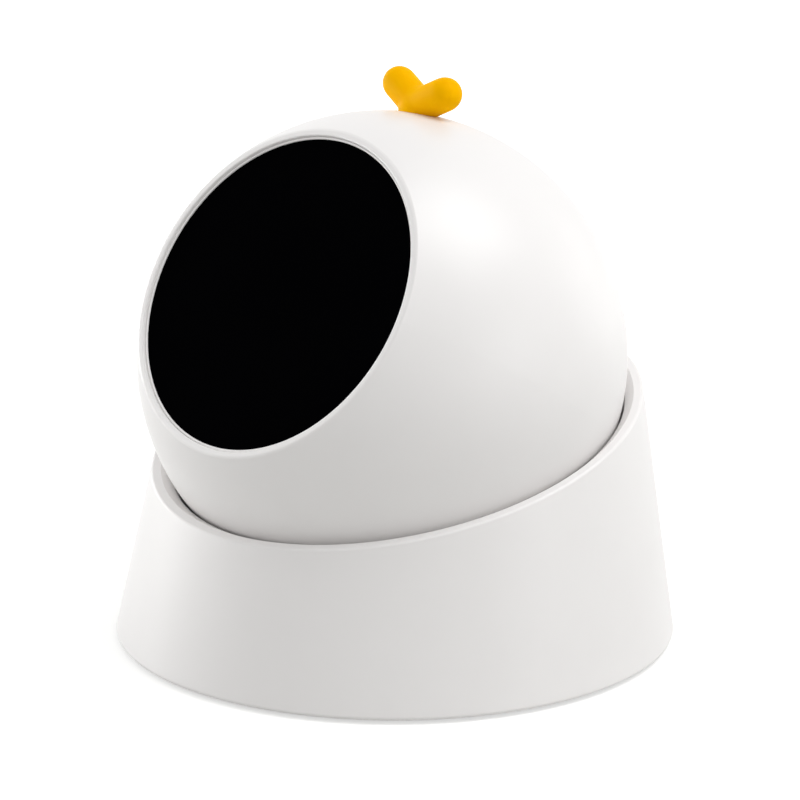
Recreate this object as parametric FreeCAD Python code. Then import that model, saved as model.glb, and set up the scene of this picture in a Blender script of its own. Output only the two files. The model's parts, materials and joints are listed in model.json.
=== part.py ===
import FreeCAD, Part
import math
import os

# Automatic cat laser toy, in millimetres.
# Origin: centre of the resting plane. +Z up, the window looks towards -Y.

# Outside of the base
skirt_flare = 5.25
shell_bottom = 0.6
rim_y = 0.3
rim_tilt = 15.0
rim_angle = 71.72
ring_width = 3.0
shell_wall = 2.2
rim_thick = 2.6
land_width = 1.5
slope_depth = 1.3
rim_round = 0.45
bottom_round = 0.5

# Ball head
ball_r = 38.7
ball_wall = 2.0
ball_gap = 0.35
window_tilt = 31.6
window_r = 25.65
window_t = 2.0
window_fit = 0.12
lip_height = 0.75
lip_width = 1.05
lip_outer_round = 0.6
lip_inner_round = 0.25
ledge_t = 1.8
ledge_width = 3.25

# Crest
crest_lean = 12.1
crest_turn = -7.5
crest_roll = 2.6
lobe_r = 2.64
lobe_spread = 5.7
lobe_height = 3.8
root_spread = 0.95
root_height = 1.15
web_height = 2.05
peg_r = 1.5
peg_head_r = 2.3
peg_head_t = 1.0
peg_fit = 0.1

# Cup and swivel
cup_gap = 0.45
cup_wall = 1.6
cup_edge_fit = 0.25
floor_t = 1.45
floor_boss_wall = 1.0
neck_r = 4.0
neck_bore_r = 2.2
running_fit = 0.08
saddle_r = 8.9
saddle_t = 1.3
saddle_fit = 0.1
pocket_fit = 0.3
inner_saddle_r = 8.0
inner_saddle_t = 1.5
disc_spring_t = 0.5
disc_spring_rise = 0.7
disc_spring_r = 6.5
nut_r = 7.0
nut_t = 2.4
neck_over_nut = 0.8
washer_r = 6.6
washer_t = 0.4
ring_r = 6.0
ring_t = 0.7
ring_groove = 0.6
neck_tail = 0.4
slot_fit = 0.25
tilt_forward = 18.0
tilt_back = 15.0
under_gap = 0.5

# Base plate, feet and screws
plate_rise = 0.2
plate_t = 1.6
plate_fit = 0.2
foot_r = 4.5
foot_edge = 2.8
foot_pocket = 0.6
foot_fit = 0.1
foot_count = 4
screw_r = 1.0
screw_fit = 0.1
screw_head_r = 2.0
screw_head_t = 0.9
screw_length = 6.5
cross_width = 0.45
cross_length = 2.2
cross_depth = 0.5
post_r = 2.8
post_ring_r = 29.5
boss_r = 2.6
boss_height = 8.0
boss_into_wall = 1.0

# Control board and what is on it
board_t = 1.2
standoff_r = 2.4
standoff_height = 3.0
board_edge_gap = 0.8
board_inner_r = 21.5
board_half_angle = 34.0
board_screw_angle = 27.0
board_screw_r = 24.8
board_screw_length = 3.6
port_x = -9.0
port_width = 8.94
port_height = 3.26
port_depth = 7.35
port_wall = 0.3
port_corner = 1.3
port_inset = 0.95
port_fit = 0.3
tongue_width = 6.7
tongue_t = 0.7
tongue_depth = 4.6
tongue_inset = 1.0
tongue_root = 0.5
button_x = 9.0
button_r = 2.6
button_fit = 0.15
button_proud = 0.5
button_travel = 0.5
button_height = 3.8
button_flange_r = 3.6
button_flange_t = 0.8
flange_gap = 0.3
stem_r = 1.2
stem_length = 1.2
stem_gap = 0.12
switch_size = 6.0
switch_depth = 3.6
plunger_r = 1.3
plunger_length = 0.6
pipe_r = 0.9
pipe_height = 1.6
pipe_fit = 0.05
pipe_length = 5.5
led_size = 1.6
led_t = 0.7
chip_size = 7.0
chip_t = 1.0
coil_size = 3.2
coil_t = 2.0
small_length = 1.6
small_width = 0.8
small_spread = 1.8
driver_size = 5.0
plug_width = 6.0
plug_depth = 4.5
plug_height = 4.0
plug_inset = 7.2
cell_length = 30.0
cell_width = 19.5
cell_t = 5.4
cell_gap = 0.6
cell_round = 1.6

# Laser drive, in the frame of the window
gasket_t = 0.4
gasket_fit = 0.25
flange_t = 1.5
flange_lap = 1.9
rail_fit = 0.84
rail_t = 1.7
rail_height = 10.0
back_z = -14.0
back_t = 1.6
shelf_width = 12.0
shelf_t = 1.6
shelf_overhang = 5.0
pivot_y = 3.0
pivot_z = 6.0
laser_dip = 30.0
barrel_r = 3.0
barrel_length = 16.0
barrel_front = 9.0
barrel_wall = 0.6
lens_t = 1.2
lens_inset = 1.2
cradle_r = 4.6
cradle_length = 8.0
trunnion_r = 1.25
pivot_fit = 0.08
side_gap = 0.3
arm_t = 2.0
arm_half_depth = 4.0
yoke_top = 13.0
yoke_bottom = -8.4
yoke_t = 1.6
pin_r = 1.5
gear_module = 0.5
gear_width = 1.8
gear_backlash = 0.03
pinion_addendum = 0.9
sector_addendum = 0.8
dedendum = 1.25
mesh_gap = 0.08
gear_gap = 0.4
pan_tooth_count = 40
tilt_tooth_count = 32
pinion_tooth_count = 12
pan_sector_count = 15
tilt_sector_count = 7
hub_r = 3.4
shaft_r = 0.6
shaft_fit = 0.08
shaft_clear = 0.24
pan_motor_r = 5.0
pan_motor_length = 7.0
tilt_motor_r = 4.0
tilt_motor_length = 8.5
tilt_drive_angle = 135.0
chassis_screw_r = 0.7
chassis_head_r = 1.3
chassis_head_t = 0.6
chassis_screw_length = 4.5
chassis_boss_r = 1.9
chassis_boss_length = 4.4
head_board_r = 11.0
head_board_t = 1.0
head_board_gap = 2.0
head_post_r = 1.6
head_post_x = 7.0

# Smallest step, how far a cutter runs past what it cuts, and a length past everything
tiny = 0.01
past = 1.0
far = 120.0


def V(x, y, z):
    return FreeCAD.Vector(x, y, z)


def sine(degrees):
    return math.sin(math.radians(degrees))


def cosine(degrees):
    return math.cos(math.radians(degrees))


def rod(radius, z_low, z_high, x=0.0, y=0.0):
    return Part.makeCylinder(radius, z_high - z_low, V(x, y, z_low))


def tube(outer, inner, z_low, z_high, x=0.0, y=0.0):
    core = rod(inner, z_low - past, z_high + past, x, y)
    return rod(outer, z_low, z_high, x, y).cut(core)


def block(x_low, x_high, y_low, y_high, z_low, z_high):
    return Part.makeBox(x_high - x_low, y_high - y_low, z_high - z_low, V(x_low, y_low, z_low))


def rod_along(radius, start, direction, length):
    return Part.makeCylinder(radius, length, start, direction)


def ball(radius):
    return Part.makeSphere(radius)


def place(shape, tilt, origin):
    # A piece drawn upright is leaned about X, then carried to its origin.
    moved = shape.copy()
    moved.rotate(V(0, 0, 0), V(1, 0, 0), tilt)
    moved.translate(origin)
    return moved


def turned(shape, degrees):
    moved = shape.copy()
    moved.rotate(V(0, 0, 0), V(0, 0, 1), degrees)
    return moved


def prism(points, z_low, height):
    corners = [V(x, y, z_low) for x, y in points]
    wire = Part.makePolygon(corners + [corners[0]])
    return Part.Face(wire).extrude(V(0, 0, height))


def rounded_bar(width, height, corner, length):
    # A bar along +Y with rounded corners, centred on X and Z.
    bar = block(-width / 2, width / 2, 0, length, -height / 2, height / 2)
    long_edges = [e for e in bar.Edges if abs(e.BoundBox.YLength - length) < tiny]
    return bar.makeFillet(corner, long_edges)


def export(name, *solids):
    shape = solids[0] if len(solids) == 1 else Part.makeCompound(list(solids))
    if shape.ShapeType == "Compound" and len(shape.Solids) == 1:
        shape = shape.Solids[0]
    shape.exportStep("parts/" + name + ".step")


os.makedirs("parts", exist_ok=True)

# Axes that the pieces share
rim_axis = V(0, -sine(rim_tilt), cosine(rim_tilt))
window_lean = 90.0 - window_tilt

# The rim lies on the ball at rim_angle from its underside, ring_width outside it
ball_rise = ball_r * cosine(rim_angle)
rim_r = ball_r * sine(rim_angle) + ring_width
base_bottom_r = rim_r + skirt_flare

# Swivel stack under the ball, as distances from its centre down the axis of the rim
saddle_low = ball_r + saddle_fit + saddle_t
floor_top = saddle_low + running_fit
floor_low = floor_top + floor_t
pocket_r = saddle_r + pocket_fit
floor_boss_r = pocket_r + floor_boss_wall
washer_low = floor_low + running_fit + washer_t
ring_top = washer_low + running_fit
ring_low = ring_top + ring_t
neck_low = ring_low + neck_tail


def drop(depth, radius):
    # How far a disc on the axis of the rim reaches below the ball's centre.
    return depth * cosine(rim_tilt) + radius * sine(rim_tilt)


# The stack stands clear above the base plate, and that sets the height of the ball
plate_low = shell_bottom + plate_rise
plate_top = plate_low + plate_t
stack_drop = max(drop(ring_low, ring_r), drop(neck_low, neck_r), drop(floor_low, floor_boss_r))
rim_z = plate_top + under_gap + stack_drop - ball_rise * cosine(rim_tilt)
rim_centre = V(0, rim_y, rim_z)
ball_centre = rim_centre + rim_axis * ball_rise


def on_rim_axis(shape):
    # Drawn with the ball's centre at the origin and the axis of the rim as Z.
    return place(shape, rim_tilt, ball_centre)


def in_window(shape):
    # Drawn with the ball's centre at the origin and the window facing along Z.
    return place(shape, window_lean, ball_centre)


# Base shell: outside and hollow are lofts from the foot circle to the sloping rim
foot_centre = V(0, 0, shell_bottom)
shell_line = rim_centre - foot_centre


def loft(bottom_r, top_r, top_share):
    low = Part.makeCircle(bottom_r, foot_centre, V(0, 0, 1))
    high = Part.makeCircle(top_r, foot_centre + shell_line * top_share, rim_axis)
    return Part.makeLoft([Part.Wire(low), Part.Wire(high)], True, True)


def wall_radius(z, inset=0.0):
    # Radius of the skirt at its side, at a height, less an inset.
    share = (z - shell_bottom) / (rim_z - shell_bottom)
    return base_bottom_r + (rim_r - base_bottom_r) * share - inset


rim_share = 1.0 - rim_thick / rim_axis.dot(shell_line)
hollow_top_r = base_bottom_r + (rim_r - base_bottom_r) * rim_share - shell_wall
hollow_bottom_r = base_bottom_r - shell_wall
skirt = loft(base_bottom_r, rim_r, 1.0)
rim_edges = [e for e in skirt.Edges if e.BoundBox.ZMin > shell_bottom + tiny and e.Closed]
skirt = skirt.makeFillet(rim_round, rim_edges)
foot_edges = [e for e in skirt.Edges if e.BoundBox.ZMax < shell_bottom + tiny and e.Closed]
skirt = skirt.makeFillet(bottom_round, foot_edges)
hollow = loft(hollow_bottom_r, hollow_top_r, rim_share)

# Opening of the rim: a flat land, a slope down to the ball and a short collar
slope_low = -ball_rise - slope_depth
slope_high = -ball_rise
collar_r = math.sqrt(ball_r**2 - slope_low**2) + ball_gap
land_r = rim_r - land_width
opening = rod(collar_r, slope_low - rim_thick, slope_low)
opening = opening.fuse(Part.makeCone(collar_r, land_r, slope_depth, V(0, 0, slope_low)))
opening = opening.fuse(rod(land_r, slope_high, slope_high + far))

diagonals = [45.0, 135.0, 225.0, 315.0]


def around(radius, angle):
    return radius * cosine(angle), radius * sine(angle)


boss_ring_r = wall_radius(plate_top + boss_height, shell_wall + boss_r - boss_into_wall)
screw_hole_r = screw_r + screw_fit / 2
screw_tip = plate_low + screw_length
base_shell = skirt.cut(hollow).cut(on_rim_axis(opening))
for angle in diagonals:
    x, y = around(boss_ring_r, angle)
    boss = rod(boss_r, plate_top, plate_top + boss_height, x, y).common(skirt)
    base_shell = base_shell.fuse(boss)
for angle in diagonals:
    x, y = around(boss_ring_r, angle)
    base_shell = base_shell.cut(rod(screw_hole_r, plate_low, screw_tip + screw_fit, x, y))

# Openings of the back wall: charging port, mode button and light pipe
board_z = plate_top + standoff_height
board_top = board_z + board_t
port_z = board_top + port_height / 2
button_z = board_top + button_height
pipe_z = board_top + pipe_height


def wall_y(x, z, inset=0.0):
    # Where the back wall's outside stands, seen from above. The back leans by its own slope.
    back_low = base_bottom_r
    back_high = rim_y + rim_r * cosine(rim_tilt)
    back_top = rim_z + rim_r * sine(rim_tilt)
    radius = back_low + (back_high - back_low) * (z - shell_bottom) / (back_top - shell_bottom)
    return math.sqrt((radius - inset) ** 2 - x**2)


port_mouth = wall_y(port_x, port_z) - port_inset
slot_cut = rounded_bar(
    port_width + 2 * port_fit, port_height + 2 * port_fit, port_corner + port_fit, far
)
slot_cut.translate(V(port_x, port_mouth - port_depth, port_z))
base_shell = base_shell.cut(slot_cut)
button_hole = rod_along(button_r + button_fit, V(button_x, 0, button_z), V(0, 1, 0), far)
base_shell = base_shell.cut(button_hole)
pipe_hole = rod_along(pipe_r + pipe_fit, V(0, 0, pipe_z), V(0, 1, 0), far)
base_shell = base_shell.cut(pipe_hole)
export("base_shell", base_shell)

# Socket cup: bowl under the ball, with a thick floor that carries the swivel
bowl_r = ball_r + cup_gap
cup_r = bowl_r + cup_wall
cup_top = -ball_rise - rim_thick
cup = ball(cup_r).common(rod(far, -far, cup_top))
cup = cup.fuse(rod(floor_boss_r, -floor_low, -floor_top + floor_t))
cup = on_rim_axis(cup)
for angle in diagonals:
    x, y = around(post_ring_r, angle)
    cup = cup.fuse(rod(post_r, plate_top, ball_centre.z - ball_r / 2, x, y))
edge_limit = Part.makeCylinder(
    hollow_top_r - cup_edge_fit, far, foot_centre + shell_line * rim_share, rim_axis * -1
)
bowl = ball(bowl_r).fuse(rod(pocket_r, -floor_top, 0))
bowl = bowl.fuse(rod(neck_r + running_fit, -far, 0))
cup = cup.common(edge_limit).cut(on_rim_axis(bowl))
for angle in diagonals:
    x, y = around(post_ring_r, angle)
    cup = cup.cut(rod(screw_hole_r, 0, screw_tip + screw_fit, x, y))
export("socket_cup", cup)

# Base plate: flat cover with countersunk holes, foot pockets and two standoffs
plate_r = hollow_bottom_r - plate_fit - bottom_round
plate = rod(plate_r, plate_low, plate_top)
head_hole_r = screw_head_r + screw_fit
screw_rings = [(boss_ring_r, angle) for angle in diagonals]
post_rings = [(post_ring_r, angle) for angle in diagonals]
for radius, angle in screw_rings + post_rings:
    x, y = around(radius, angle)
    hole = Part.makeCone(head_hole_r, screw_hole_r, screw_head_t, V(x, y, plate_low))
    plate = plate.cut(hole)
    plate = plate.cut(rod(screw_hole_r, plate_low, plate_top, x, y))
foot_ring_r = hollow_bottom_r - foot_r - foot_edge
foot_angles = [360.0 * i / foot_count for i in range(foot_count)]
for angle in foot_angles:
    x, y = around(foot_ring_r, angle)
    plate = plate.cut(rod(foot_r + foot_fit, plate_low - tiny, plate_low + foot_pocket, x, y))
board_screws_at = [around(board_screw_r, 90.0 + side * board_screw_angle) for side in (-1, 1)]
for x, y in board_screws_at:
    plate = plate.fuse(rod(standoff_r, plate_top, board_z, x, y))
    board_hole_low = board_top - board_screw_length
    plate = plate.cut(rod(screw_hole_r, board_hole_low - screw_fit, board_z + tiny, x, y))
export("base_plate", plate)

feet = []
for angle in foot_angles:
    x, y = around(foot_ring_r, angle)
    pad = rod(foot_r, 0, plate_low + foot_pocket, x, y)
    rim = [e for e in pad.Edges if e.Closed and e.BoundBox.ZMax < tiny]
    feet.append(pad.makeFillet(bottom_round / 2, rim))
export("rubber_feet", *feet)


def screw(x, y, length, head_r, head_t, shank_r):
    # Countersunk screw, head down at z = 0, with a cross recess.
    body = Part.makeCone(head_r, shank_r, head_t, V(x, y, 0))
    body = body.fuse(rod(shank_r, 0, length, x, y))
    half = cross_length / 2
    arm = block(x - half, x + half, y - cross_width / 2, y + cross_width / 2, 0, cross_depth)
    other = block(x - cross_width / 2, x + cross_width / 2, y - half, y + half, 0, cross_depth)
    return body.cut(arm).cut(other)


def plate_screws(ring_r):
    group = []
    for angle in diagonals:
        x, y = around(ring_r, angle)
        one = screw(x, y, screw_length, screw_head_r, screw_head_t, screw_r)
        one.translate(V(0, 0, plate_low))
        group.append(one)
    return group


export("shell_screws", *plate_screws(boss_ring_r))
export("cup_screws", *plate_screws(post_ring_r))

# Control board: a crescent behind the cup, on two standoffs
board_r = wall_radius(board_top, shell_wall + board_edge_gap)
board = tube(board_r, board_inner_r, board_z, board_top)
edge = 2 * board_r
wedge_points = [(0, 0)]
for side in (-1, 1):
    angle = 90.0 + side * board_half_angle
    wedge_points.append((edge * cosine(angle), edge * sine(angle)))
board = board.common(prism(wedge_points, board_z, board_t))
for x, y in board_screws_at:
    board = board.cut(rod(screw_hole_r, board_z - tiny, board_top + tiny, x, y))
export("control_board", board)

board_screws = []
for x, y in board_screws_at:
    one = screw(0, 0, board_screw_length + screw_head_t, screw_head_r, screw_head_t, screw_r)
    one.rotate(V(0, 0, 0), V(1, 0, 0), 180)
    one.translate(V(x, y, board_top + screw_head_t))
    board_screws.append(one)
export("board_screws", *board_screws)

# Charging socket: a metal shell with a tongue
shell_bar = rounded_bar(port_width, port_height, port_corner, port_depth)
cavity = rounded_bar(
    port_width - 2 * port_wall, port_height - 2 * port_wall, port_corner - port_wall, port_depth
)
tongue_tip = port_depth - tongue_inset
cavity.translate(V(0, tongue_tip - tongue_depth, 0))
socket = shell_bar.cut(cavity)
tongue = block(
    -tongue_width / 2,
    tongue_width / 2,
    tongue_tip - tongue_depth - tongue_root,
    tongue_tip,
    -tongue_t / 2,
    tongue_t / 2,
)
socket = socket.fuse(tongue)
socket.translate(V(port_x, port_mouth - port_depth, port_z))
export("usb_c_socket", socket)

# Mode button: a cap through the wall, a flange behind it and a stem to the switch
button_reach = button_x + button_flange_r
flange_front = wall_y(button_reach, button_z + button_flange_r, shell_wall) - flange_gap
button_front = wall_y(button_x, button_z) + button_proud
stem_tip = flange_front - button_flange_t - stem_length
cap_start = V(button_x, flange_front, button_z)
button = rod_along(button_r, cap_start, V(0, 1, 0), button_front - flange_front)
front_edges = [e for e in button.Edges if e.Closed and e.BoundBox.YMin > button_front - tiny]
button = button.makeFillet(button_proud, front_edges)
flange_start = V(button_x, flange_front - button_flange_t, button_z)
button = button.fuse(rod_along(button_flange_r, flange_start, V(0, 1, 0), button_flange_t))
stem_start = V(button_x, stem_tip, button_z)
button = button.fuse(rod_along(stem_r, stem_start, V(0, 1, 0), stem_length))
export("mode_button", button)

plunger_front = stem_tip - button_travel - stem_gap
switch_front = plunger_front - plunger_length
switch = block(
    button_x - switch_size / 2,
    button_x + switch_size / 2,
    switch_front - switch_depth,
    switch_front,
    board_top,
    board_top + switch_size,
)
plunger_start = V(button_x, switch_front, button_z)
switch = switch.fuse(rod_along(plunger_r, plunger_start, V(0, 1, 0), plunger_length))
export("tact_switch", switch)

# Indicator: a clear pipe through the wall, lit by a diode on the board
pipe_front = wall_y(0, pipe_z)
pipe_start = V(0, pipe_front - pipe_length, pipe_z)
export("light_pipe", rod_along(pipe_r, pipe_start, V(0, 1, 0), pipe_length))
led_front = pipe_front - pipe_length - side_gap
led = block(-led_size / 2, led_size / 2, led_front - led_size, led_front, board_top, pipe_z + led_t)
export("status_led", led)

# Parts on the board: controller, inductor, capacitors and the battery's plug
part_y = board_inner_r + chip_size / 2 + board_edge_gap
small_y = part_y + chip_size / 2 + board_edge_gap + small_length / 2


def on_board(x, y, length, width, height):
    # A block on the board, centred on x and y.
    solid = Part.makeBox(length, width, height)
    solid.translate(V(x - length / 2, y - width / 2, board_top))
    return solid


coil_x = -(chip_size + coil_size) / 2 - board_edge_gap
small_parts = [on_board(coil_x, part_y, coil_size, coil_size, coil_t)]
for x in (-small_spread, 0, small_spread):
    small_parts.append(on_board(x, small_y, small_width, small_length, small_width))
export("board_parts", *small_parts)
export("controller_chip", on_board(0, part_y, chip_size, chip_size, chip_t))
plug_x, plug_y = around(board_r - plug_inset, 90.0 + board_screw_angle)
export("battery_plug", on_board(plug_x, plug_y, plug_width, plug_depth, plug_height))

# Battery: a flat pouch cell on the plate, its outer corners close to the left wall
cell_top = plate_top + cell_t
cell_reach = wall_radius(cell_top, shell_wall + cell_gap)
cell_low = -math.sqrt(cell_reach**2 - (cell_length / 2) ** 2)
cell = block(cell_low, cell_low + cell_width, -cell_length / 2, cell_length / 2, plate_top, cell_top)
cell_edges = [e for e in cell.Edges if abs(e.BoundBox.YLength - cell_length) < tiny]
cell = cell.makeFillet(cell_round, cell_edges)
export("battery_pouch", cell)

# Swivel post: a saddle under the ball and a hollow neck through floor and ball
inner_r = ball_r - ball_wall
clamp_r = inner_r - saddle_fit
clamp_top = math.sqrt(clamp_r**2 - inner_saddle_r**2) - inner_saddle_t
spring_top = clamp_top - 2 * disc_spring_t - 2 * disc_spring_rise
nut_top = spring_top - nut_t
neck_top = nut_top - neck_over_nut
saddle = rod(saddle_r, -saddle_low, -saddle_low + saddle_r).cut(ball(ball_r + saddle_fit))
post = saddle.fuse(rod(neck_r, -neck_low, -neck_top))
post = post.cut(rod(neck_bore_r, -far, 0))
post = post.cut(tube(neck_r + past, neck_r - ring_groove, -ring_low, -ring_top))
export("swivel_post", on_rim_axis(post))

clamp = ball(clamp_r).common(rod(inner_saddle_r, -far, -clamp_top))
clamp = clamp.cut(rod(neck_r + screw_fit / 2, -far, 0))
export("inner_saddle", on_rim_axis(clamp))


def disc_spring(z_low, upward):
    # A coned washer: wide edge low when it opens downwards.
    inner = neck_r + screw_fit
    low_r = disc_spring_r if upward else inner
    high_r = inner if upward else disc_spring_r
    points = [
        V(low_r, 0, z_low),
        V(high_r, 0, z_low + disc_spring_rise),
        V(high_r, 0, z_low + disc_spring_rise + disc_spring_t),
        V(low_r, 0, z_low + disc_spring_t),
    ]
    outline = Part.makePolygon(points + [points[0]])
    return Part.Face(outline).revolve(V(0, 0, 0), V(0, 0, 1), 360)


first = disc_spring(-clamp_top, True)
second = disc_spring(-clamp_top + disc_spring_rise + disc_spring_t, False)
export("disc_springs", on_rim_axis(first), on_rim_axis(second))

nut_points = [around(nut_r, 60.0 * i) for i in range(6)]
nut = prism(nut_points, -spring_top, nut_t).cut(rod(neck_r + screw_fit / 2, -far, 0))
export("clamp_nut", on_rim_axis(nut))

washer = tube(washer_r, neck_r + screw_fit, -washer_low, -washer_low + washer_t)
export("thrust_washer", on_rim_axis(washer))
clip = tube(ring_r, neck_r - ring_groove, -ring_low, -ring_top)
clip_mouth = neck_r - ring_groove
clip = clip.cut(block(0, far, -clip_mouth / 2, clip_mouth / 2, -far, 0))
export("retaining_ring", on_rim_axis(clip))

# Head shell: one ball moulding, open at the window, with a slot for the neck
rebate_r = window_r + window_fit
front_r = rebate_r + lip_width
front = math.sqrt(ball_r**2 - front_r**2)
window_face = front - lip_height
rebate_low = window_face - window_t - gasket_t - flange_t
ledge_low = rebate_low - ledge_t
ledge_r = rebate_r - ledge_width
lip = ball(ball_r).common(rod(far, -far, front))
lip = lip.cut(rod(rebate_r, rebate_low, far))
outer_lip = [e for e in lip.Edges if e.Closed and abs(e.BoundBox.XLength - 2 * front_r) < tiny]
lip = lip.makeFillet(lip_outer_round, outer_lip)
inner_lip = []
for e in lip.Edges:
    if e.Closed and abs(e.BoundBox.XLength - 2 * rebate_r) < tiny and e.BoundBox.ZMin > window_face:
        inner_lip.append(e)
lip = lip.makeFillet(lip_inner_round, inner_lip)
inside = ball(inner_r).common(rod(far, -far, ledge_low))
head = lip.cut(inside)
boss_pitch = (ledge_r + rebate_r) / 2
for angle in diagonals:
    x, y = around(boss_pitch, angle)
    head = head.fuse(rod(chassis_boss_r, ledge_low - chassis_boss_length, ledge_low, x, y))
head = head.cut(rod(ledge_r, ledge_low - far, far).common(rod(far, ledge_low - tiny, far)))
chassis_hole_r = chassis_screw_r + screw_fit / 2
for angle in diagonals:
    x, y = around(boss_pitch, angle)
    head = head.cut(rod(chassis_hole_r, rebate_low - chassis_screw_length, rebate_low + tiny, x, y))
head = in_window(head)

slot_half = neck_r + slot_fit
mid_r = inner_r + ball_wall / 2
end_angle = math.degrees(slot_fit / mid_r)
slot_outline = [
    V(-slot_half, 0, -ball_r - past),
    V(slot_half, 0, -ball_r - past),
    V(slot_half, 0, -inner_r + past),
    V(-slot_half, 0, -inner_r + past),
]
slot_face = Part.Face(Part.makePolygon(slot_outline + [slot_outline[0]]))
slot = slot_face.revolve(V(0, 0, 0), V(1, 0, 0), tilt_forward + tilt_back + 2 * end_angle)
slot.rotate(V(0, 0, 0), V(1, 0, 0), -tilt_forward - end_angle)
for lean in (-tilt_forward - end_angle, tilt_back + end_angle):
    end = rod(slot_half, -ball_r - past, -inner_r + past)
    end.rotate(V(0, 0, 0), V(1, 0, 0), lean)
    slot = slot.fuse(end)
head = head.cut(on_rim_axis(slot))


def on_crest(shape):
    # Drawn with the ball's centre at the origin and the crest's axis as Z.
    return place(turned(shape, crest_turn), -crest_lean, ball_centre)


head = head.cut(on_crest(rod(peg_r + peg_fit, inner_r / 2, far)))
export("head_shell", head)

# Crest: two puffed lobes on a short root, with a headed peg through the shell
lobe_z = ball_r + lobe_height
root_z = ball_r + root_height
crest = Part.makeSphere(lobe_r, V(0, 0, ball_r + web_height))
for side in (-1, 1):
    tip = V(side * lobe_spread, 0, lobe_z)
    root = V(side * root_spread, 0, root_z)
    crest = crest.fuse(Part.makeSphere(lobe_r, tip))
    crest = crest.fuse(Part.makeSphere(lobe_r, root))
    crest = crest.fuse(rod_along(lobe_r, root, tip - root, (tip - root).Length))
crest.rotate(V(0, 0, ball_r), V(0, 1, 0), crest_roll)
crest = crest.fuse(rod(peg_r, inner_r - peg_head_t / 2, root_z))
crest = crest.cut(ball(ball_r).cut(rod(peg_r, 0, far)))
crest = crest.fuse(rod(peg_head_r, inner_r - peg_fit - peg_head_t, inner_r - peg_fit))
export("crest", on_crest(crest))

# Window, its bonding ring and the frame behind it
window = rod(window_r, window_face - window_t, window_face)
window_edges = [e for e in window.Edges if e.Closed and e.BoundBox.ZMin > window_face - tiny]
window = window.makeFillet(lip_inner_round, window_edges)
export("window_disc", in_window(window))
gasket_low = rebate_low + flange_t
flange_r = rebate_r - gasket_fit
flange_inner_r = ledge_r - flange_lap
gasket = tube(flange_r, flange_inner_r + gasket_fit, gasket_low, gasket_low + gasket_t)
export("window_gasket", in_window(gasket))

# Gears: involute teeth, each with its middle on a multiple of the tooth pitch
pressure_angle = 20.0


def involute(angle):
    return math.tan(angle) - angle


def flank(teeth, radius):
    # Half of a tooth's angle at a radius, in radians.
    pitch_r = gear_module * teeth / 2
    base_r = pitch_r * cosine(pressure_angle)
    slope = math.acos(min(base_r / radius, 1.0))
    half = math.pi / (2 * teeth) - gear_backlash / (2 * pitch_r)
    return half + involute(math.radians(pressure_angle)) - involute(slope)


def polar(radius, angle):
    return V(radius * math.cos(angle), radius * math.sin(angle), 0)


def gear(teeth, shown, addendum):
    # A fan of teeth centred on +X: a tooth lies there if their count is odd, a gap if even.
    pitch_r = gear_module * teeth / 2
    base_r = pitch_r * cosine(pressure_angle)
    root_r = pitch_r - dedendum * gear_module
    tip_r = pitch_r + addendum * gear_module
    low_r = max(base_r, root_r)
    mid_r = (low_r + tip_r) / 2
    step = 2 * math.pi / teeth
    edges = []
    last = None
    start = None
    for i in range(shown):
        middle = (i - (shown - 1) / 2) * step
        rise = []
        for radius in (low_r, mid_r, tip_r):
            rise.append(polar(radius, middle - flank(teeth, radius)))
        fall = []
        for radius in (tip_r, mid_r, low_r):
            fall.append(polar(radius, middle + flank(teeth, radius)))
        foot_a = polar(root_r, middle - flank(teeth, low_r))
        foot_b = polar(root_r, middle + flank(teeth, low_r))
        if last is not None:
            edges.append(Part.LineSegment(last, foot_a))
        else:
            start = foot_a
        if root_r < low_r:
            edges.append(Part.LineSegment(foot_a, rise[0]))
        edges.append(Part.Arc(*rise))
        edges.append(Part.LineSegment(rise[2], fall[0]))
        edges.append(Part.Arc(*fall))
        if root_r < low_r:
            edges.append(Part.LineSegment(fall[2], foot_b))
        last = foot_b
    if shown == teeth:
        edges.append(Part.LineSegment(last, start))
    else:
        edges.append(Part.LineSegment(last, V(0, 0, 0)))
        edges.append(Part.LineSegment(V(0, 0, 0), start))
    wire = Part.Wire([edge.toShape() for edge in edges])
    return Part.Face(wire).extrude(V(0, 0, gear_width))


def centre_distance(teeth):
    return gear_module * (teeth + pinion_tooth_count) / 2 + mesh_gap


# The pan drive is drawn with its axis as Z, which becomes the window's up direction.
# The direction drawn as X becomes the window's normal.
def on_pan_axis(shape, height):
    moved = shape.copy()
    moved.rotate(V(0, 0, 0), V(1, 1, 1), -120)
    moved.translate(V(0, height, pivot_z))
    return moved


# The tilt drive is drawn with its axis as Z, which becomes X of the window's frame.
def on_tilt_axis(shape, side):
    moved = shape.copy()
    moved.rotate(V(0, 0, 0), V(0, 1, 0), 90)
    moved.translate(V(side, pivot_y, pivot_z))
    return moved


shelf_low = yoke_top + side_gap
gear_low = shelf_low + shelf_t + gear_gap
pan_offset = centre_distance(pan_tooth_count)
pan_motor_z = pivot_z - pan_offset
cradle_half = cradle_r
arm_inner = cradle_half + side_gap
arm_outer = arm_inner + arm_t
tilt_gear_x = arm_outer + side_gap
tilt_offset = centre_distance(tilt_tooth_count)
tilt_motor_y = pivot_y - tilt_offset * sine(tilt_drive_angle)
tilt_motor_z = pivot_z + tilt_offset * cosine(tilt_drive_angle)


def up_rod(radius, low, high, x, z):
    # A rod along the window's up direction.
    return rod_along(radius, V(x, low, z), V(0, 1, 0), high - low)


def side_rod(radius, low, high, y, z):
    # A rod along X.
    return rod_along(radius, V(low, y, z), V(1, 0, 0), high - low)


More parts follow.
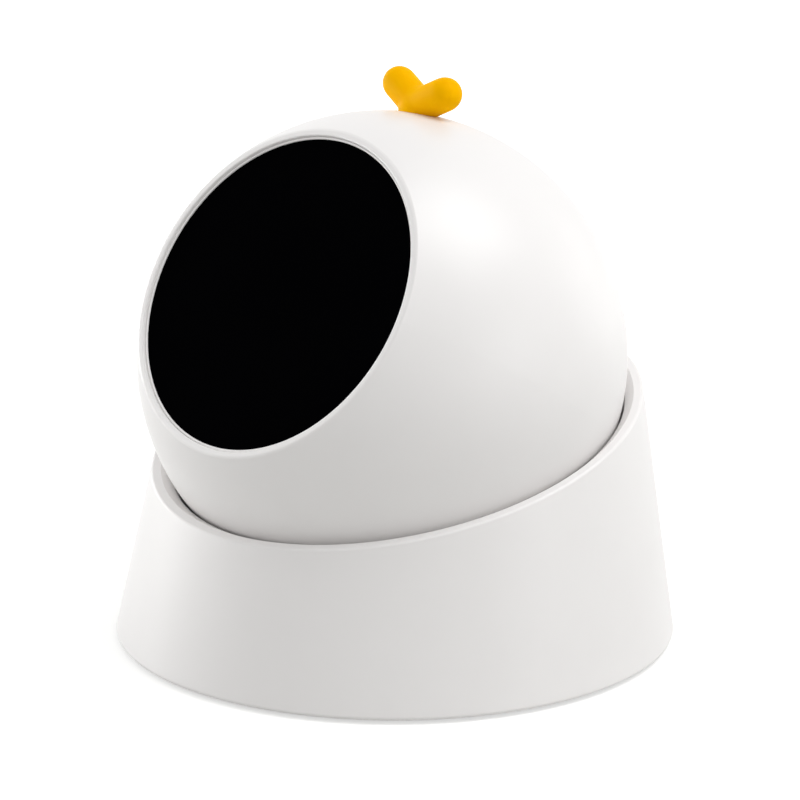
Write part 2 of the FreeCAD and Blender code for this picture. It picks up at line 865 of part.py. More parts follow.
# Chassis: flange, two rails, a back plate and two shelves that hold the yoke
lower_shelf = yoke_bottom - yoke_t - side_gap
chassis = tube(flange_r, flange_inner_r, rebate_low, gasket_low)
half_rail = rail_height / 2
half_shelf = shelf_width / 2
rail_end = math.sqrt((ledge_r - rail_fit) ** 2 - half_rail**2)
rail_x = rail_end - rail_t
for side in (-1, 1):
    low = min(side * rail_x, side * (rail_x + rail_t))
    rail = block(low, low + rail_t, -half_rail, half_rail, back_z, gasket_low)
    chassis = chassis.fuse(rail)
chassis = chassis.fuse(block(-rail_end, rail_end, -half_rail, half_rail, back_z, back_z + back_t))
shelf_end = pivot_z + shelf_overhang
shelf_high = shelf_low + shelf_t
lower_low = lower_shelf - shelf_t
chassis = chassis.fuse(block(-half_shelf, half_shelf, lower_low, shelf_high, back_z, back_z + back_t))
chassis = chassis.fuse(block(-half_shelf, half_shelf, shelf_low, shelf_high, back_z, shelf_end))
chassis = chassis.fuse(block(-half_shelf, half_shelf, lower_low, lower_shelf, back_z, shelf_end))
pin_hole_r = pin_r + pivot_fit
chassis = chassis.cut(up_rod(pin_hole_r, lower_shelf - far, far, 0, pivot_z))
chassis = chassis.cut(up_rod(shaft_r + shaft_clear, 0, far, 0, pan_motor_z))
for angle in diagonals:
    x, y = around(boss_pitch, angle)
    chassis = chassis.cut(rod(chassis_hole_r, rebate_low - tiny, far, x, y))
    chassis = chassis.cut(rod(chassis_head_r + screw_fit, gasket_low - chassis_head_t, far, x, y))
head_posts = [(-head_post_x, 0), (head_post_x, 0)]
for x, y in head_posts:
    chassis = chassis.fuse(rod(head_post_r, back_z - head_board_gap, back_z + tiny, x, y))
export("head_chassis", in_window(chassis))

chassis_screws = []
for angle in diagonals:
    x, y = around(boss_pitch, angle)
    one = rod(chassis_screw_r, rebate_low - chassis_screw_length + screw_fit, gasket_low - tiny, x, y)
    one = one.fuse(rod(chassis_head_r, gasket_low - chassis_head_t, gasket_low - tiny, x, y))
    chassis_screws.append(in_window(one))
export("chassis_screws", *chassis_screws)

head_board_z = back_z - head_board_gap
head_board = rod(head_board_r, head_board_z - head_board_t, head_board_z)
half_driver = driver_size / 2
driver = block(-half_driver, half_driver, -half_driver, half_driver, head_board_z, head_board_z + chip_t)
export("head_board", in_window(head_board.fuse(driver)))

# Pan motor under the upper shelf, its shaft and pinion above it
pan_can = up_rod(pan_motor_r, shelf_low - pan_motor_length, shelf_low, 0, pan_motor_z)
shaft_root = shelf_low - pan_motor_length / 2
pan_can = pan_can.cut(up_rod(shaft_r + shaft_fit, shaft_root - shaft_fit, far, 0, pan_motor_z))
export("pan_motor", in_window(pan_can))

pan_pinion = gear(pinion_tooth_count, pinion_tooth_count, pinion_addendum)
pan_pinion.translate(V(-pan_offset, 0, 0))
pan_pinion = on_pan_axis(pan_pinion, gear_low)
pan_shaft = up_rod(shaft_r, shaft_root, gear_low + gear_width, 0, pan_motor_z)
export("pan_pinion", in_window(pan_pinion.fuse(pan_shaft)))

sector = turned(gear(pan_tooth_count, pan_sector_count, sector_addendum), 180)
sector = sector.fuse(rod(hub_r, 0, gear_width)).cut(rod(pin_r, -past, gear_width + past))
export("pan_gear", in_window(on_pan_axis(sector, gear_low)))

# Yoke: top and bottom plates with pins, two arms and a seat for the tilt motor
arm_low_z = pivot_z - arm_half_depth
arm_high_z = pivot_z + arm_half_depth
yoke = block(-arm_outer, arm_outer, yoke_top - yoke_t, yoke_top, arm_low_z, arm_high_z)
yoke = yoke.fuse(
    block(-arm_outer, arm_outer, yoke_bottom - yoke_t, yoke_bottom, arm_low_z, arm_high_z)
)
seat_back = tilt_motor_z - tilt_motor_r
for side in (-1, 1):
    low = min(side * arm_inner, side * arm_outer)
    arm = block(low, low + arm_t, yoke_bottom - yoke_t, yoke_top, arm_low_z, arm_high_z)
    yoke = yoke.fuse(arm)
seat = block(
    arm_inner,
    arm_outer,
    tilt_motor_y - tilt_motor_r,
    tilt_motor_y + tilt_motor_r,
    seat_back,
    arm_high_z,
)
yoke = yoke.fuse(seat)
yoke = yoke.fuse(up_rod(pin_r, yoke_top - yoke_t / 2, gear_low + gear_width, 0, pivot_z))
yoke = yoke.fuse(up_rod(pin_r, lower_shelf - shelf_t, yoke_bottom - yoke_t / 2, 0, pivot_z))
yoke = yoke.cut(side_rod(trunnion_r + pivot_fit, -far, far, pivot_y, pivot_z))
yoke = yoke.cut(side_rod(shaft_r + shaft_clear, 0, far, tilt_motor_y, tilt_motor_z))
export("laser_yoke", in_window(yoke))

tilt_can = side_rod(tilt_motor_r, arm_inner - tilt_motor_length, arm_inner, tilt_motor_y, tilt_motor_z)
tilt_root = arm_inner - tilt_motor_length / 2
tilt_can = tilt_can.cut(
    side_rod(shaft_r + shaft_fit, tilt_root - shaft_fit, far, tilt_motor_y, tilt_motor_z)
)
export("tilt_motor", in_window(tilt_can))

# The tilt pinion stands down and behind the cradle, on the sector's centre line
tilt_shaft = side_rod(shaft_r, tilt_root, tilt_gear_x + gear_width, tilt_motor_y, tilt_motor_z)
tilt_sector = gear(tilt_tooth_count, tilt_sector_count, sector_addendum)
tilt_sector = tilt_sector.fuse(rod(hub_r, 0, gear_width))
tilt_sector = tilt_sector.cut(rod(trunnion_r, -past, gear_width + past))
tilt_pinion = gear(pinion_tooth_count, pinion_tooth_count, pinion_addendum)
tilt_pinion.translate(V(tilt_offset, 0, 0))


def on_tilt_drive(shape, side):
    # The sector's middle points from the cradle's axis to the pinion.
    aim = math.degrees(math.atan2(tilt_motor_y - pivot_y, -(tilt_motor_z - pivot_z)))
    return on_tilt_axis(turned(shape, aim), side)


export("tilt_pinion", in_window(on_tilt_drive(tilt_pinion, tilt_gear_x).fuse(tilt_shaft)))
export("tilt_gear", in_window(on_tilt_drive(tilt_sector, tilt_gear_x)))


# Cradle and laser: drawn along Z about the pivot, then dipped below the window's normal
def on_laser(shape):
    moved = shape.copy()
    moved.rotate(V(0, 0, 0), V(1, 0, 0), laser_dip)
    moved.translate(V(0, pivot_y, pivot_z))
    return moved


cradle = rod(cradle_r, -cradle_length / 2, cradle_length / 2)
cradle = cradle.fuse(side_rod(trunnion_r, -arm_outer, tilt_gear_x + gear_width, 0, 0))
cradle = cradle.cut(rod(barrel_r, -far, far))
export("laser_cradle", in_window(on_laser(cradle)))
barrel = rod(barrel_r, barrel_front - barrel_length, barrel_front)
lens_front = barrel_front - lens_inset
barrel = barrel.cut(rod(barrel_r - barrel_wall, lens_front - lens_t, far))
export("laser_barrel", in_window(on_laser(barrel)))
lens = rod(barrel_r - barrel_wall, lens_front - lens_t, lens_front)
export("laser_lens", in_window(on_laser(lens)))
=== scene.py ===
import math
import json
import bmesh
import bpy
from mathutils import Matrix, Vector


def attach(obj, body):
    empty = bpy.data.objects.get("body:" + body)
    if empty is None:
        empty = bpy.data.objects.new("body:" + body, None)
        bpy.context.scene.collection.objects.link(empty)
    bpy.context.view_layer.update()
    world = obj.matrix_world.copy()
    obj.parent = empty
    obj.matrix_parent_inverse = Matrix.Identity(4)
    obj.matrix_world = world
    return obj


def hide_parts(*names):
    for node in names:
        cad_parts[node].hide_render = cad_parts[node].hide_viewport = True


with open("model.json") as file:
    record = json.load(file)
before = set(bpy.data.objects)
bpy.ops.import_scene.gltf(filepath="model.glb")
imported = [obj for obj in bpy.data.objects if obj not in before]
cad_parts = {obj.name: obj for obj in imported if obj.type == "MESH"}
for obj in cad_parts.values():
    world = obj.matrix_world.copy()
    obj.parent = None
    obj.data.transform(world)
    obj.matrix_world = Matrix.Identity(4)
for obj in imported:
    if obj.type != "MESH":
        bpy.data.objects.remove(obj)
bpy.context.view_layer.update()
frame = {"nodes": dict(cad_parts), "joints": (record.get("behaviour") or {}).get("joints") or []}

# Base plate
# A flat cover of white ABS, injection moulded, that closes the base from below.
# Countersunk holes, four foot pockets and two standoffs for the board are moulded with it.
MM = 0.001


def linear(colour):
    # An sRGB hex colour as the linear colour that a shader takes.
    shares = [int(colour[i : i + 2], 16) / 255 for i in (1, 3, 5)]
    return [s / 12.92 if s <= 0.04045 else ((s + 0.055) / 1.055) ** 2.4 for s in shares] + [1.0]


def add(tree, kind, inputs, **settings):
    # One node: its settings, and a value or a link for each input that is named.
    node = tree.nodes.new("ShaderNode" + kind)
    for name, value in settings.items():
        setattr(node, name, value)
    for socket, value in inputs.items():
        if isinstance(value, bpy.types.NodeSocket):
            tree.links.new(value, node.inputs[socket])
        else:
            node.inputs[socket].default_value = value
    return node


def plain_finish(name, values):
    # A material with its shader set, and the piece's own coordinates to draw on.
    material = bpy.data.materials.new(name)
    material.use_nodes = True
    tree = material.node_tree
    tree.nodes.clear()
    shader = add(tree, "BsdfPrincipled", values)
    add(tree, "OutputMaterial", {"Surface": shader.outputs["BSDF"]})
    return material, tree, shader, add(tree, "TexCoord", {}).outputs["Object"]


def moulded(name, tones, gloss, drift, grain, depth, values):
    # Two close tones and a gloss that drift across the piece over so many millimetres,
    # and a grain so many millimetres wide that stands so many millimetres high.
    material, tree, shader, place = plain_finish(name, values)
    cloud = add(tree, "TexNoise", {"Vector": place, "Scale": 1 / (drift * MM), "Detail": 3.0})
    tone = add(
        tree,
        "Mix",
        {0: cloud.outputs["Fac"], 6: linear(tones[0]), 7: linear(tones[1])},
        data_type="RGBA",
    )
    rough = add(
        tree,
        "MapRange",
        {"Value": cloud.outputs["Fac"], "To Min": gloss[0], "To Max": gloss[1]},
    )
    skin = add(tree, "TexNoise", {"Vector": place, "Scale": 1 / (grain * MM), "Detail": 2.0})
    bump = add(tree, "Bump", {"Height": skin.outputs["Fac"], "Distance": depth * MM})
    tree.links.new(tone.outputs[2], shader.inputs["Base Color"])
    tree.links.new(rough.outputs["Result"], shader.inputs["Roughness"])
    tree.links.new(bump.outputs["Normal"], shader.inputs["Normal"])
    return material


def dress(material, *nodes):
    for name in nodes:
        frame["nodes"][name].material_slots[0].material = material


# White ABS out of a finely sparked tool: an even, soft sheen with no sharp reflections.
# The real grain is finer than a pixel, so it is drawn a few times as wide.
white_abs = moulded(
    "white_moulded_abs",
    tones=("#F2F0EF", "#EEECEB"),
    gloss=(0.34, 0.42),
    drift=14,
    grain=0.25,
    depth=0.0012,
    values={"IOR": 1.54},
)
dress(white_abs, "base_plate")

# Rubber feet
# Four round pads of dark silicone rubber, die cut and bonded into the plate's pockets.
# They carry the toy and stop it from sliding on a hard floor.

# Silicone rubber with a matt, slightly dusty skin that hardly mirrors anything.
foot_rubber = moulded(
    "dark_foot_rubber",
    tones=("#3B3C3E", "#303133"),
    gloss=(0.72, 0.86),
    drift=3,
    grain=0.22,
    depth=0.012,
    values={"IOR": 1.43},
)
dress(foot_rubber, "rubber_feet")

# Control board
# A crescent of glass-fibre laminate with a green mask, etched and soldered by machine.
# Two screws hold it on the plate's standoffs, behind the cup.
TRACK_PITCH = 1.1
TRACK_WIDTH = 0.12
TRACK_RUN = 3.2
TRACK_ROW = 0.8
TRACK_SHIFT = 0.37
TRACK_CROWDING = 1.6
GLASS_WEAVE = 0.5
TRACK_RELIEF = 0.02

# Laminate under a satin green mask, with copper tracks that show through a little lighter.
# Widths, runs and rows of the tracks are shares of their pitch.
board_laminate, tree, shader, place = plain_finish(
    "green_masked_laminate",
    {"Roughness": 0.34, "IOR": 1.55},
)
bands = add(
    tree,
    "TexBrick",
    {
        "Vector": place,
        "Scale": 1 / (TRACK_PITCH * MM),
        "Color1": linear("#1F6B45"),
        "Color2": linear("#1B5F3D"),
        "Mortar": linear("#2F8A5C"),
        "Mortar Size": TRACK_WIDTH,
        "Brick Width": TRACK_RUN,
        "Row Height": TRACK_ROW,
    },
    offset=TRACK_SHIFT,
    squash=TRACK_CROWDING,
)
weave = add(tree, "TexNoise", {"Vector": place, "Scale": 1 / (GLASS_WEAVE * MM)})
raised = add(tree, "Math", {0: bands.outputs["Fac"], 1: weave.outputs["Fac"]}, operation="ADD")
relief = add(tree, "Bump", {"Height": raised.outputs["Value"], "Distance": TRACK_RELIEF * MM})
tree.links.new(bands.outputs["Color"], shader.inputs["Base Color"])
tree.links.new(relief.outputs["Normal"], shader.inputs["Normal"])
dress(board_laminate, "control_board", "head_board")

# Parts on the board
# Controller, coil and capacitors in black moulding compound, placed and soldered by machine.
# The switch behind the mode button stands at the board's back edge.

# Moulding compound: charcoal, matt, with a sandy skin.
black_nylon = moulded(
    "black_moulding_compound",
    tones=("#232325", "#1A1A1C"),
    gloss=(0.5, 0.64),
    drift=4,
    grain=0.15,
    depth=0.006,
    values={"IOR": 1.53},
)
dress(black_nylon, "controller_chip", "board_parts", "tact_switch")

# Natural nylon: a warm cream that is a little glossy, used for the plug, the washer and the gears.
cream_nylon = moulded(
    "natural_cream_nylon",
    tones=("#E9E3D2", "#DFD7C3"),
    gloss=(0.34, 0.44),
    drift=5,
    grain=0.2,
    depth=0.003,
    values={"IOR": 1.53},
)
dress(cream_nylon, "battery_plug", "thrust_washer", "pan_gear", "tilt_gear")

# Battery
# A lithium cell in a pouch of aluminium laminate, folded and heat sealed at its edges.
# It lies flat on the plate, along the left wall.

# Laminate foil: dull silver, softly creased where the pouch shrank on the cell.
cell_foil = moulded(
    "creased_cell_foil",
    tones=("#C6C9CC", "#AEB2B6"),
    gloss=(0.26, 0.42),
    drift=9,
    grain=2.4,
    depth=0.09,
    values={"Metallic": 1.0},
)
dress(cell_foil, "battery_pouch")

# Charging socket
# A deep-drawn steel shell with a plastic tongue inside, nickel plated on the outside.
# It is soldered to the board's back edge, behind its slot in the wall.
STREAK_WIDTH = 0.12
STREAK_LENGTH = 4.0
STREAK_DEPTH = 0.0015

# Nickel plate over a drawn shell: bright, with faint streaks along the drawing direction.
socket_steel, tree, shader, place = plain_finish("nickel_plated_shell", {"Metallic": 1.0})
along = add(
    tree,
    "Mapping",
    {
        "Vector": place,
        "Scale": (1 / (STREAK_WIDTH * MM), 1 / (STREAK_LENGTH * MM), 1 / (STREAK_WIDTH * MM)),
    },
)
streaks = add(tree, "TexNoise", {"Vector": along.outputs["Vector"], "Scale": 1.0, "Detail": 2.0})
plate_tone = add(
    tree,
    "Mix",
    {0: streaks.outputs["Fac"], 6: linear("#D8DADC"), 7: linear("#C3C6C9")},
    data_type="RGBA",
)
plate_gloss = add(
    tree,
    "MapRange",
    {"Value": streaks.outputs["Fac"], "To Min": 0.16, "To Max": 0.3},
)
plate_bump = add(
    tree,
    "Bump",
    {"Height": streaks.outputs["Fac"], "Distance": STREAK_DEPTH * MM},
)
tree.links.new(plate_tone.outputs[2], shader.inputs["Base Color"])
tree.links.new(plate_gloss.outputs["Result"], shader.inputs["Roughness"])
tree.links.new(plate_bump.outputs["Normal"], shader.inputs["Normal"])
dress(socket_steel, "usb_c_socket")

# Light pipe and its diode
# A short rod of clear acrylic, moulded and pressed through the back wall.
# A small diode on the board stands behind it. The laser's lens is made of the same acrylic.

# Clear acrylic: colourless and bright, a little hazy where the tool was polished by hand.
clear_acrylic = moulded(
    "clear_acrylic",
    tones=("#FAFBFB", "#F3F6F6"),
    gloss=(0.05, 0.12),
    drift=2,
    grain=0.6,
    depth=0.002,
    values={"IOR": 1.49, "Transmission Weight": 0.9},
)
dress(clear_acrylic, "light_pipe", "status_led", "laser_lens")

# Mode button
# A round cap of the same white ABS, with a flange behind the wall that keeps it in.
# It slides in its hole and presses the switch, which springs it back.
dress(white_abs, "mode_button")

# Base shell
# One moulding of white ABS, cut off at a slant like a dish stand.
# It slips over the cup, and four screws through the plate pull it down.
dress(white_abs, "base_shell")

# Socket cup
# A bowl of white ABS under the ball, moulded with four posts that take its screws.
# Its floor carries the swivel.
dress(white_abs, "socket_cup")

# Screws
# Countersunk screws with a cross recess, cold headed from wire and thread rolled.
# They are driven from below the plate, through the chassis and into the board's standoffs.

# Zinc plate: silvery with a warm cast, a little cloudy from tumbling.
screw_steel = moulded(
    "zinc_plated_screw_steel",
    tones=("#D3D1C6", "#BDBDB8"),
    gloss=(0.26, 0.38),
    drift=1.2,
    grain=0.15,
    depth=0.002,
    values={"Metallic": 1.0},
)
dress(screw_steel, "shell_screws", "cup_screws", "board_screws", "chassis_screws")

# Swivel
# A hollow post with a saddle under the ball and a matching saddle inside it.
# Disc springs under a brass nut squeeze the ball between them, and it stays as it is aimed.

# Acetal, machined grade: cool grey, waxy and smooth.
grey_acetal = moulded(
    "waxy_grey_acetal",
    tones=("#8E9296", "#83878B"),
    gloss=(0.3, 0.4),
    drift=6,
    grain=0.2,
    depth=0.0015,
    values={"IOR": 1.48},
)
dress(grey_acetal, "swivel_post", "inner_saddle", "laser_yoke", "laser_cradle")

# Hardened strip: darker and bluer than the screws, with a soft grey bloom from tempering.
spring_steel = moulded(
    "tempered_spring_steel",
    tones=("#8C8F94", "#71757B"),
    gloss=(0.28, 0.4),
    drift=2.5,
    grain=0.2,
    depth=0.002,
    values={"Metallic": 1.0},
)
dress(spring_steel, "disc_springs", "retaining_ring")

# Free-cutting brass: warm yellow, with the fine scratches of a tumbled turned part.
brass = moulded(
    "tumbled_brass",
    tones=("#CDAA5C", "#B99348"),
    gloss=(0.22, 0.36),
    drift=2,
    grain=0.12,
    depth=0.0015,
    values={"Metallic": 1.0},
)
dress(brass, "clamp_nut", "pan_pinion", "tilt_pinion", "laser_barrel")

# Laser drive
# A chassis of black ABS, moulded in one piece, is screwed in behind the window.
# It carries two geared motors: one turns the yoke, and one tips the cradle with the laser.

# Black ABS, unpolished inside the ball, so that no stray beam is mirrored.
black_abs = moulded(
    "matt_black_abs",
    tones=("#222325", "#1B1B1D"),
    gloss=(0.5, 0.6),
    drift=8,
    grain=0.25,
    depth=0.005,
    values={"IOR": 1.54},
)
dress(black_abs, "head_chassis")

# Drawn motor cans, zinc plated: light grey metal with a crystalline bloom.
motor_can = moulded(
    "zinc_plated_motor_can",
    tones=("#CBCED1", "#B3B7BB"),
    gloss=(0.24, 0.38),
    drift=1.6,
    grain=0.4,
    depth=0.0015,
    values={"Metallic": 1.0},
)
dress(motor_can, "pan_motor", "tilt_motor")

# Window
# A disc cut from black acrylic that only red light gets through.
# It is bonded on a thin ring of foam, a little below the lip of the ball.

# Polished acrylic with an anti-glare dip: very dark, it mirrors far less than bare plastic.
window_acrylic = moulded(
    "dipped_black_acrylic",
    tones=("#040405", "#020203"),
    gloss=(0.08, 0.12),
    drift=18,
    grain=5,
    depth=0.0004,
    values={"IOR": 1.49, "Specular IOR Level": 0.0},
)
dress(window_acrylic, "window_disc")

# Closed-cell foam: dead black and full of tiny cells.
black_foam = moulded(
    "black_cell_foam",
    tones=("#18181A", "#0E0E10"),
    gloss=(0.88, 0.96),
    drift=1.5,
    grain=0.3,
    depth=0.05,
    values={"IOR": 1.45},
)
dress(black_foam, "window_gasket")

# Ball head
# One hollow moulding of white ABS: a ball, cut flat in front for the window.
# A rounded lip stands round the window, and a slot below lets the swivel's neck through.
dress(white_abs, "head_shell")

# Window trim
# A thin ring of white ABS that closes the edge of the window, pressed in below the lip.
# It is the fine bright line round the black disc.
TRIM_R = 25.55
TRIM_WIRE_R = 0.2
TRIM_PLANE = 27.26
WINDOW_LEAN = 58.4
TRIM_STEPS = 288
WIRE_STEPS = 12
SEAM = 0.001


def piece(name, mesh):
    made = bpy.data.objects.new(name, mesh)
    bpy.context.scene.collection.objects.link(made)
    return made


def from_bmesh(name, bm):
    mesh = bpy.data.meshes.new(name)
    bm.to_mesh(mesh)
    bm.free()
    for face in mesh.polygons:
        face.use_smooth = True
    return piece(name, mesh)


ball_centre = Vector(next(j for j in frame["joints"] if j["name"] == "head_tilt")["pos_m"])
bm = bmesh.new()
upright = Matrix.Rotation(math.radians(90), 4, "X")
stand = Matrix.Translation((TRIM_R * MM, 0, TRIM_PLANE * MM)) @ upright
bmesh.ops.create_circle(bm, segments=WIRE_STEPS, radius=TRIM_WIRE_R * MM, matrix=stand)
bmesh.ops.spin(
    bm,
    geom=bm.edges[:],
    axis=(0, 0, 1),
    cent=(0, 0, 0),
    angle=math.radians(360),
    steps=TRIM_STEPS,
    use_merge=True,
)
bmesh.ops.remove_doubles(bm, verts=bm.verts, dist=SEAM * MM)
bmesh.ops.recalc_face_normals(bm, faces=bm.faces)
lean = Matrix.Rotation(math.radians(WINDOW_LEAN), 4, "X")
bmesh.ops.transform(bm, matrix=Matrix.Translation(ball_centre) @ lean, verts=bm.verts)
trim = from_bmesh("window_trim", bm)
trim.data.materials.append(white_abs)
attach(trim, "head")

# Crest
# A small tuft of soft silicone with two puffed lobes, moulded in one piece.
# Its headed peg is pulled through a hole in the crown of the ball and holds it there.
BALL_R = 38.7
CREST_LEAN = 12.1
CREST_TURN = -7.5
CREST_ROLL = 2.6
LOBE_R = 2.75
LOBE_SPREAD = 5.7
LOBE_HEIGHT = 3.8
ROOT_SPREAD = 0.8
ROOT_HEIGHT = 1.45
STEM_R = 2.9
STEM_DEPTH = 1.06
STEM_OFFSET = -0.25
STEM_LOW = -0.8
STEM_HIGH = 1.2
WEB_HEIGHT = 1.6
PEG_R = 1.5
PEG_HEAD_R = 2.3
PEG_HEAD_HIGH = 36.6
PEG_HEAD_LOW = 35.6
CREST_VOXEL = 0.2
CREST_SMOOTHING = 50
CREST_EDGE = 40
ROUND_STEPS = 48
BALL_STEPS = 192


def settle(made):
    # The mesh as its modifiers leave it, with the modifiers gone.
    bpy.context.view_layer.update()
    graph = bpy.context.evaluated_depsgraph_get()
    mesh = bpy.data.meshes.new_from_object(made.evaluated_get(graph), depsgraph=graph)
    made.modifiers.clear()
    made.data = mesh


def carve(made, tool, operation):
    # A cut with a second solid, or a union with it. The second solid is then taken away.
    change = made.modifiers.new(operation.lower(), "BOOLEAN")
    change.operation = operation
    change.solver = "EXACT"
    change.object = tool
    settle(made)
    bpy.data.objects.remove(tool)


def rod(bm, radius, low, high, place=Matrix()):
    # A round bar along Z between two heights, and then placed.
    bmesh.ops.create_cone(
        bm,
        cap_ends=True,
        segments=ROUND_STEPS,
        radius1=radius * MM,
        radius2=radius * MM,
        depth=(high - low) * MM,
        matrix=place @ Matrix.Translation((0, 0, (low + high) / 2 * MM)),
    )


def puff(bm, centre):
    # A ball as thick as a lobe.
    bmesh.ops.create_uvsphere(
        bm,
        u_segments=ROUND_STEPS,
        v_segments=ROUND_STEPS // 2,
        radius=LOBE_R * MM,
        matrix=Matrix.Translation(centre * MM),
    )


bm = bmesh.new()
rod(bm, STEM_R, BALL_R + STEM_LOW, BALL_R + STEM_HIGH)
bmesh.ops.scale(bm, vec=(1, STEM_DEPTH, 1), verts=bm.verts)
bmesh.ops.translate(bm, vec=(STEM_OFFSET * MM, 0, 0), verts=bm.verts)
puff(bm, Vector((0, 0, BALL_R + WEB_HEIGHT)))
for side in (-1, 1):
    tip = Vector((side * LOBE_SPREAD, 0, BALL_R + LOBE_HEIGHT))
    root = Vector((side * ROOT_SPREAD, 0, BALL_R + ROOT_HEIGHT))
    puff(bm, tip)
    puff(bm, root)
    arm = tip - root
    turn = arm.to_track_quat("Z", "Y").to_matrix().to_4x4()
    half_way = Matrix.Translation((tip + root) / 2 * MM)
    rod(bm, LOBE_R, -arm.length / 2, arm.length / 2, half_way @ turn)
crown = Matrix.Translation((0, 0, BALL_R * MM))
roll = crown @ Matrix.Rotation(math.radians(CREST_ROLL), 4, "Y") @ crown.inverted()
bmesh.ops.transform(bm, matrix=roll, verts=bm.verts)
crest = from_bmesh("silicone_crest", bm)
remesh = crest.modifiers.new("one skin", "REMESH")
remesh.mode = "VOXEL"
remesh.voxel_size = CREST_VOXEL * MM
remesh.use_smooth_shade = True
relax = crest.modifiers.new("soft valleys", "SMOOTH")
relax.iterations = CREST_SMOOTHING
settle(crest)
bm = bmesh.new()
bmesh.ops.create_uvsphere(
    bm,
    u_segments=BALL_STEPS,
    v_segments=BALL_STEPS // 2,
    radius=BALL_R * MM,
)
carve(crest, from_bmesh("ball", bm), "DIFFERENCE")
bm = bmesh.new()
rod(bm, PEG_R, (PEG_HEAD_HIGH + PEG_HEAD_LOW) / 2, BALL_R + ROOT_HEIGHT)
carve(crest, from_bmesh("peg", bm), "UNION")
bm = bmesh.new()
rod(bm, PEG_HEAD_R, PEG_HEAD_LOW, PEG_HEAD_HIGH)
carve(crest, from_bmesh("peg_head", bm), "UNION")
lean = Matrix.Rotation(math.radians(-CREST_LEAN), 4, "X")
turn = Matrix.Rotation(math.radians(CREST_TURN), 4, "Z")
crest.data.transform(Matrix.Translation(ball_centre) @ lean @ turn)
for face in crest.data.polygons:
    face.use_smooth = True
crest.data.set_sharp_from_angle(angle=math.radians(CREST_EDGE))

# Platinum-cured silicone in egg-yolk yellow: almost matt, and a little see-through at its edges.
crest_silicone = moulded(
    "yolk_yellow_silicone",
    tones=("#FFBE00", "#FCB400"),
    gloss=(0.4, 0.48),
    drift=3,
    grain=0.3,
    depth=0.002,
    values={
        "IOR": 1.41,
        "Specular IOR Level": 0.02,
        "Subsurface Weight": 0.15,
        "Subsurface Radius": (1.0, 0.6, 0.1),
        "Subsurface Scale": 1.2 * MM,
    },
)
crest.data.materials.clear()
crest.data.materials.append(crest_silicone)
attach(crest, "head")
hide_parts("crest")

# Studio
# A white sweep, seen as pure white where no shadow falls, and softboxes on both sides and above.
# They leave the front a little darker than the sides, as on the photograph.
CAMERA_AZIMUTH = 43.84
CAMERA_ELEVATION = 15.29
CAMERA_DISTANCE = 0.55305
CAMERA_TARGET = Vector((0, 0, 0.040))
FOCAL_PIXELS = 3480.9
PHOTO_SIDE = 800
SENSOR = 36.0
AXIS_X = 394.66
AXIS_Y = 388.13
NEAREST = 0.01


def towards(azimuth, elevation):
    # The direction from the object to a viewer or a lamp: azimuth 0 is in front, 90 is at +X.
    flat = math.cos(math.radians(elevation))
    return Vector(
        (
            math.sin(math.radians(azimuth)) * flat,
            -math.cos(math.radians(azimuth)) * flat,
            math.sin(math.radians(elevation)),
        )
    )


camera_data = bpy.data.cameras.new("camera")
camera = piece("camera", camera_data)
camera_data.sensor_width = SENSOR
camera_data.lens = FOCAL_PIXELS * SENSOR / PHOTO_SIDE
camera_data.shift_x = (PHOTO_SIDE / 2 - AXIS_X) / PHOTO_SIDE
camera_data.shift_y = (AXIS_Y - PHOTO_SIDE / 2) / PHOTO_SIDE
camera_data.clip_start = NEAREST
view_back = towards(CAMERA_AZIMUTH, CAMERA_ELEVATION)
camera.location = CAMERA_TARGET + view_back * CAMERA_DISTANCE
camera.rotation_mode = "QUATERNION"
camera.rotation_quaternion = (-view_back).to_track_quat("-Z", "Y")
bpy.context.scene.camera = camera

# Each softbox: azimuth, elevation and power in watts
BOX_DISTANCE = 0.75
BOX_SIDE = 0.45
SOFTBOXES = {
    "top_box": (120, 62, 2.7),
    "front_box": (45, 45, 0.5),
    "left_box": (-80, 5, 3.1),
    "front_left_box": (-50, 5, 1.0),
    "right_box": (105, 5, 0.8),
    "back_box": (165, 5, 0.55),
}
for name, (azimuth, elevation, power) in SOFTBOXES.items():
    lamp = bpy.data.lights.new(name, "AREA")
    lamp.size = BOX_SIDE
    lamp.energy = power
    box = piece(name, lamp)
    direction = towards(azimuth, elevation)
    box.location = CAMERA_TARGET + direction * BOX_DISTANCE
    box.rotation_mode = "QUATERNION"
    box.rotation_quaternion = (-direction).to_track_quat("-Z", "Y")


def seen_white(tree):
    # 1 for camera, mirror and glass rays, which see the sweep as pure white.
    path = add(tree, "LightPath", {})
    seen = path.outputs["Is Camera Ray"]
    for kind in ("Is Glossy Ray", "Is Transmission Ray"):
        either = add(tree, "Math", {0: seen, 1: path.outputs[kind]}, operation="MAXIMUM")
        seen = either.outputs[0]
    return seen


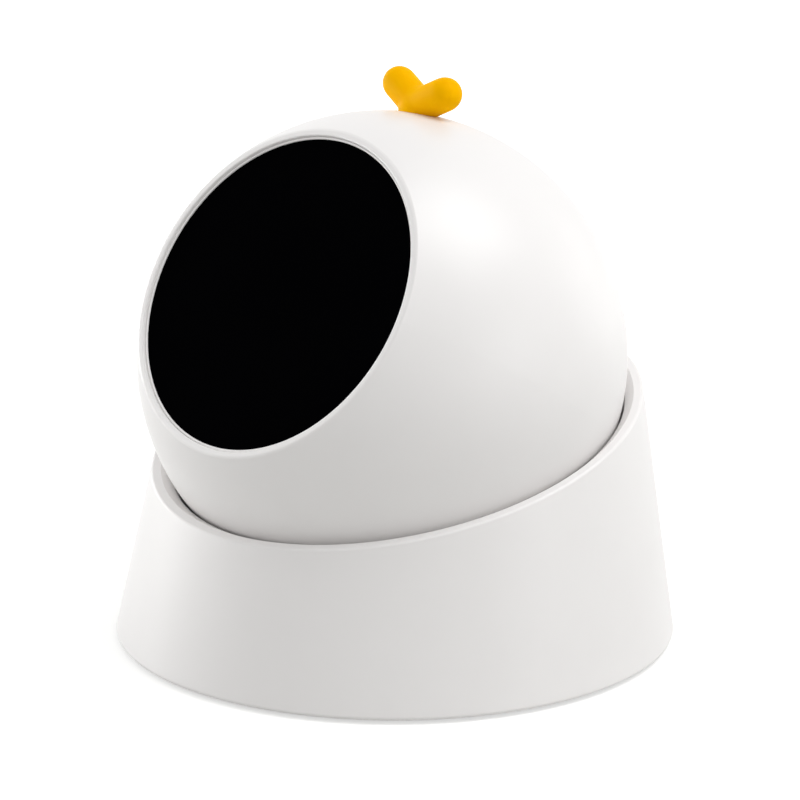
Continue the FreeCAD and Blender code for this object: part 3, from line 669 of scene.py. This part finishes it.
world = bpy.data.worlds.new("studio")
bpy.context.scene.world = world
world.use_nodes = True
tree = world.node_tree
tree.nodes.clear()
white_seen = seen_white(tree)
FILL = 0.47
strength = add(tree, "MapRange", {"Value": white_seen, "To Min": FILL, "To Max": 1.0})
sky = add(tree, "Background", {"Color": linear("#FFFFFF"), "Strength": strength.outputs["Result"]})
add(tree, "OutputWorld", {"Surface": sky.outputs["Background"]})

FLOOR_SIDE = 6.0
FLOOR_GLOW = 0.56
SWEEP_NEAR = 0.14
SWEEP_FAR = 0.4
bm = bmesh.new()
bmesh.ops.create_grid(bm, x_segments=1, y_segments=1, size=FLOOR_SIDE / 2)
floor = from_bmesh("floor", bm)
floor_material = bpy.data.materials.new("white_sweep")
floor_material.use_nodes = True
tree = floor_material.node_tree
tree.nodes.clear()
paper = add(tree, "BsdfDiffuse", {"Color": linear("#CECECC")})
white_seen = seen_white(tree)
# The sweep is lit evenly, so past the object's shadow it is as white as the wall behind it.
place = add(tree, "TexCoord", {}).outputs["Object"]
distance = add(tree, "VectorMath", {0: place}, operation="LENGTH")
whiteness = add(
    tree,
    "MapRange",
    {
        "Value": distance.outputs["Value"],
        "From Min": SWEEP_NEAR,
        "From Max": SWEEP_FAR,
        "To Min": FLOOR_GLOW,
    },
)
glow_strength = add(
    tree,
    "Math",
    {0: white_seen, 1: whiteness.outputs["Result"]},
    operation="MULTIPLY",
)
glow = add(tree, "Emission", {"Color": linear("#FFFFFF"), "Strength": glow_strength.outputs[0]})
lit_paper = add(tree, "AddShader", {0: paper.outputs[0], 1: glow.outputs[0]})
# From below the sweep is clear, so that the underside of the toy can be seen.
below = add(tree, "BsdfTransparent", {"Color": linear("#FFFFFF")})
side_seen = add(tree, "NewGeometry", {}).outputs["Backfacing"]
sweep = add(tree, "MixShader", {0: side_seen, 1: lit_paper.outputs[0], 2: below.outputs[0]})
add(tree, "OutputMaterial", {"Surface": sweep.outputs[0]})
floor.data.materials.append(floor_material)
bpy.context.scene.view_settings.view_transform = "Standard"
